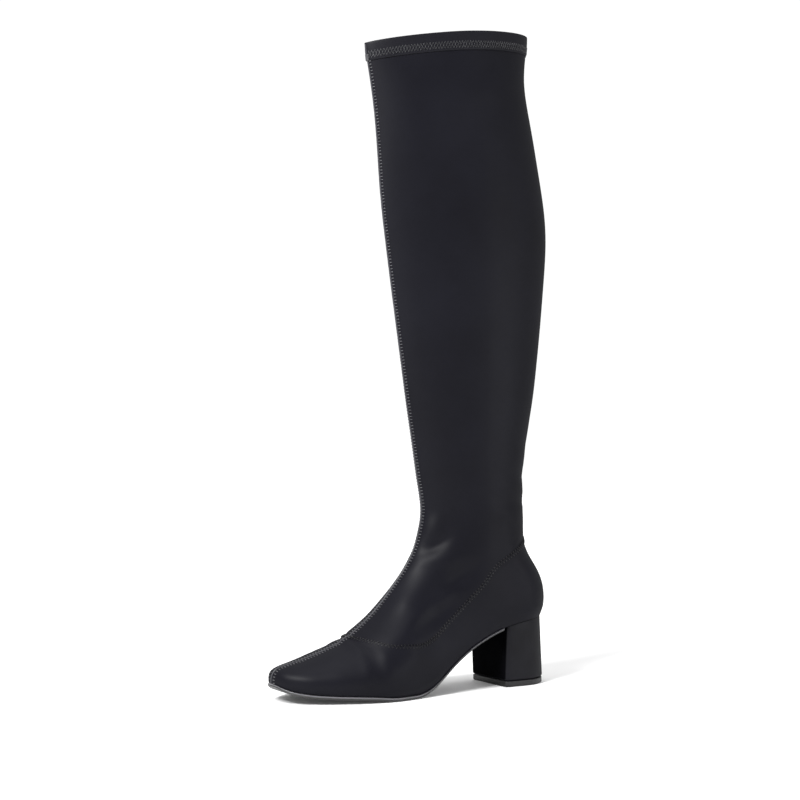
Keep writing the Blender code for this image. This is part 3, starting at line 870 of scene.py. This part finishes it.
def painted_shade_share(finish):
    """1 on the face turned to the toe, which is painted near black as painted shade, and 0 on the
    others.
    """
    normal = finish.node("ShaderNodeTexCoord", output="Normal")
    return finish.vector_maths("DOT_PRODUCT", normal, FRONT, output="Value").between(0.75, 0.97)


heel = bevelled_copy("heel", "heel_block", HEEL_EDGE)
heel_finish = stretch_finish("heel_cover", HEEL_DARK, HEEL_LIGHT, HEEL_ROUGHNESS, HEEL_COAT)
breast_shade_share = painted_shade_share(heel_finish)
heel_tone = heel_finish.noise(40, 3).between(0.3, 0.7)
# The heel's front face is painted near black, with a random tone: painted shade under the arch. It also
# loses most of its coat.
breast_painted_shade = heel_finish.tint(heel_tone, (0.0010, 0.0010, 0.0014), (0.0022, 0.0022, 0.0028))
cover_tone = heel_finish.tint(heel_tone, HEEL_DARK, HEEL_LIGHT)
heel_finish.put("Base Color", heel_finish.tint(breast_shade_share, cover_tone, breast_painted_shade))
heel_finish.put("Coat Weight", HEEL_COAT - breast_shade_share * 0.27)
put_on(heel, heel_finish, "heel_cover", "heel")

lift = bevelled_copy("heel_lift", "lift_rubber", LIFT_EDGE)
lift_finish = Finish("lift_rubber", specular=0.3)
lift_grain = lift_finish.noise(500, 3)
lift_tone = lift_finish.tint(lift_grain.between(0.3, 0.7), (0.008, 0.008, 0.009), (0.018, 0.018, 0.019))
# The lift's face turned to the toe is painted near black: painted shade under the arch.
lift_front_painted_shade = painted_shade_share(lift_finish) * 0.9
lift_finish.put("Base Color", lift_finish.tint(lift_front_painted_shade, lift_tone, (0.002, 0.002, 0.002)))
lift_finish.put("Roughness", 0.42 + lift_grain * 0.16)
lift_finish.bump(lift_grain, RUBBER_GRAIN, 0.5)
put_on(lift, lift_finish, "lift_rubber", "heel_lift")

# Floor, light and camera: a plain white floor with a wall of light behind it, dimmer behind the
# camera, and softboxes on the left, on the right behind the heel, and overhead. The camera is
# level, 19 cm above the floor.
VIEW = Vector((-0.866, 0.5, 0.0))
EYE = Vector((1.030, -0.7025, 0.1916))
FOCAL = 1500  # in pixels of an image 800 wide
HORIZON = 450
IMAGE = 800
SENSOR = 36
FLOOR_SIZE = 12
DIM_SIDE = 0.52  # the wall's brightness behind the camera
GLOW = (0.45, 0.45, 0.45)  # the far floor is lit from inside, so it stays as pale as the wall
NEAR_GLOW = (0.03, 0.03, 0.03)
GLOW_START = 0.45  # metres from the heel
GLOW_END = 1.5

bpy.ops.object.select_all(action="DESELECT")
bpy.ops.mesh.primitive_plane_add(size=FLOOR_SIZE)
floor = bpy.context.active_object
floor.name = "floor"
floor_finish = Finish("pale_floor", specular=0.2)
floor_tone = floor_finish.noise(3, 2)
floor_finish.put("Base Color", floor_finish.tint(floor_tone, (0.90, 0.90, 0.90), (0.93, 0.93, 0.93)))
floor_finish.put("Roughness", 0.6 + floor_tone * 0.1)
floor_finish.surface.inputs["Emission Strength"].default_value = 1
from_boot = floor_finish.vector_maths("LENGTH", floor_finish.place, output="Value")
glow_share = from_boot.between(GLOW_START, GLOW_END)
floor_finish.put("Emission Color", floor_finish.tint(glow_share, NEAR_GLOW, GLOW))
floor.data.materials.append(floor_finish.material)

scene = bpy.context.scene
scene.view_settings.view_transform = "Standard"
scene.world = bpy.data.worlds.new("studio")
scene.world.use_nodes = True
sky = Nodes(scene.world.node_tree)
direction = sky.node("ShaderNodeTexCoord", output="Generated")
facing = sky.vector_maths("DOT_PRODUCT", direction, VIEW, output="Value")
background = sky.tree.nodes["Background"]
background.inputs["Color"].default_value = (1, 1, 1, 1)
sky.feed(background.inputs["Strength"], DIM_SIDE + facing.between(-0.2, 0.5) * 0.53)


def softbox(name, place, aim, width, height, power):
    """A rectangular soft light that faces a point."""
    data = bpy.data.lights.new(name, "AREA")
    data.shape = "RECTANGLE"
    data.size = width
    data.size_y = height
    data.energy = power
    light = bpy.data.objects.new(name, data)
    bpy.context.collection.objects.link(light)
    light.location = place
    light.rotation_euler = (Vector(aim) - Vector(place)).to_track_quat("-Z", "Y").to_euler()


softbox("left_softbox", (0.62, -1.40, 1.42), (0, -0.06, 0.46), 0.5, 0.8, 56)
softbox("right_softbox", (1.30, 0.95, 0.35), (0, 0, 0.08), 0.6, 0.4, 5)
softbox("top_softbox", (-0.1, 0.0, 1.9), (0, -0.08, 0), 1.2, 1.2, 10)

camera_data = bpy.data.cameras.new("camera")
camera = bpy.data.objects.new("camera", camera_data)
bpy.context.collection.objects.link(camera)
camera.location = EYE
camera.rotation_euler = VIEW.to_track_quat("-Z", "Y").to_euler()
camera_data.sensor_width = SENSOR
camera_data.lens = SENSOR * FOCAL / IMAGE
camera_data.shift_y = (HORIZON - IMAGE / 2) / IMAGE
scene.camera = camera
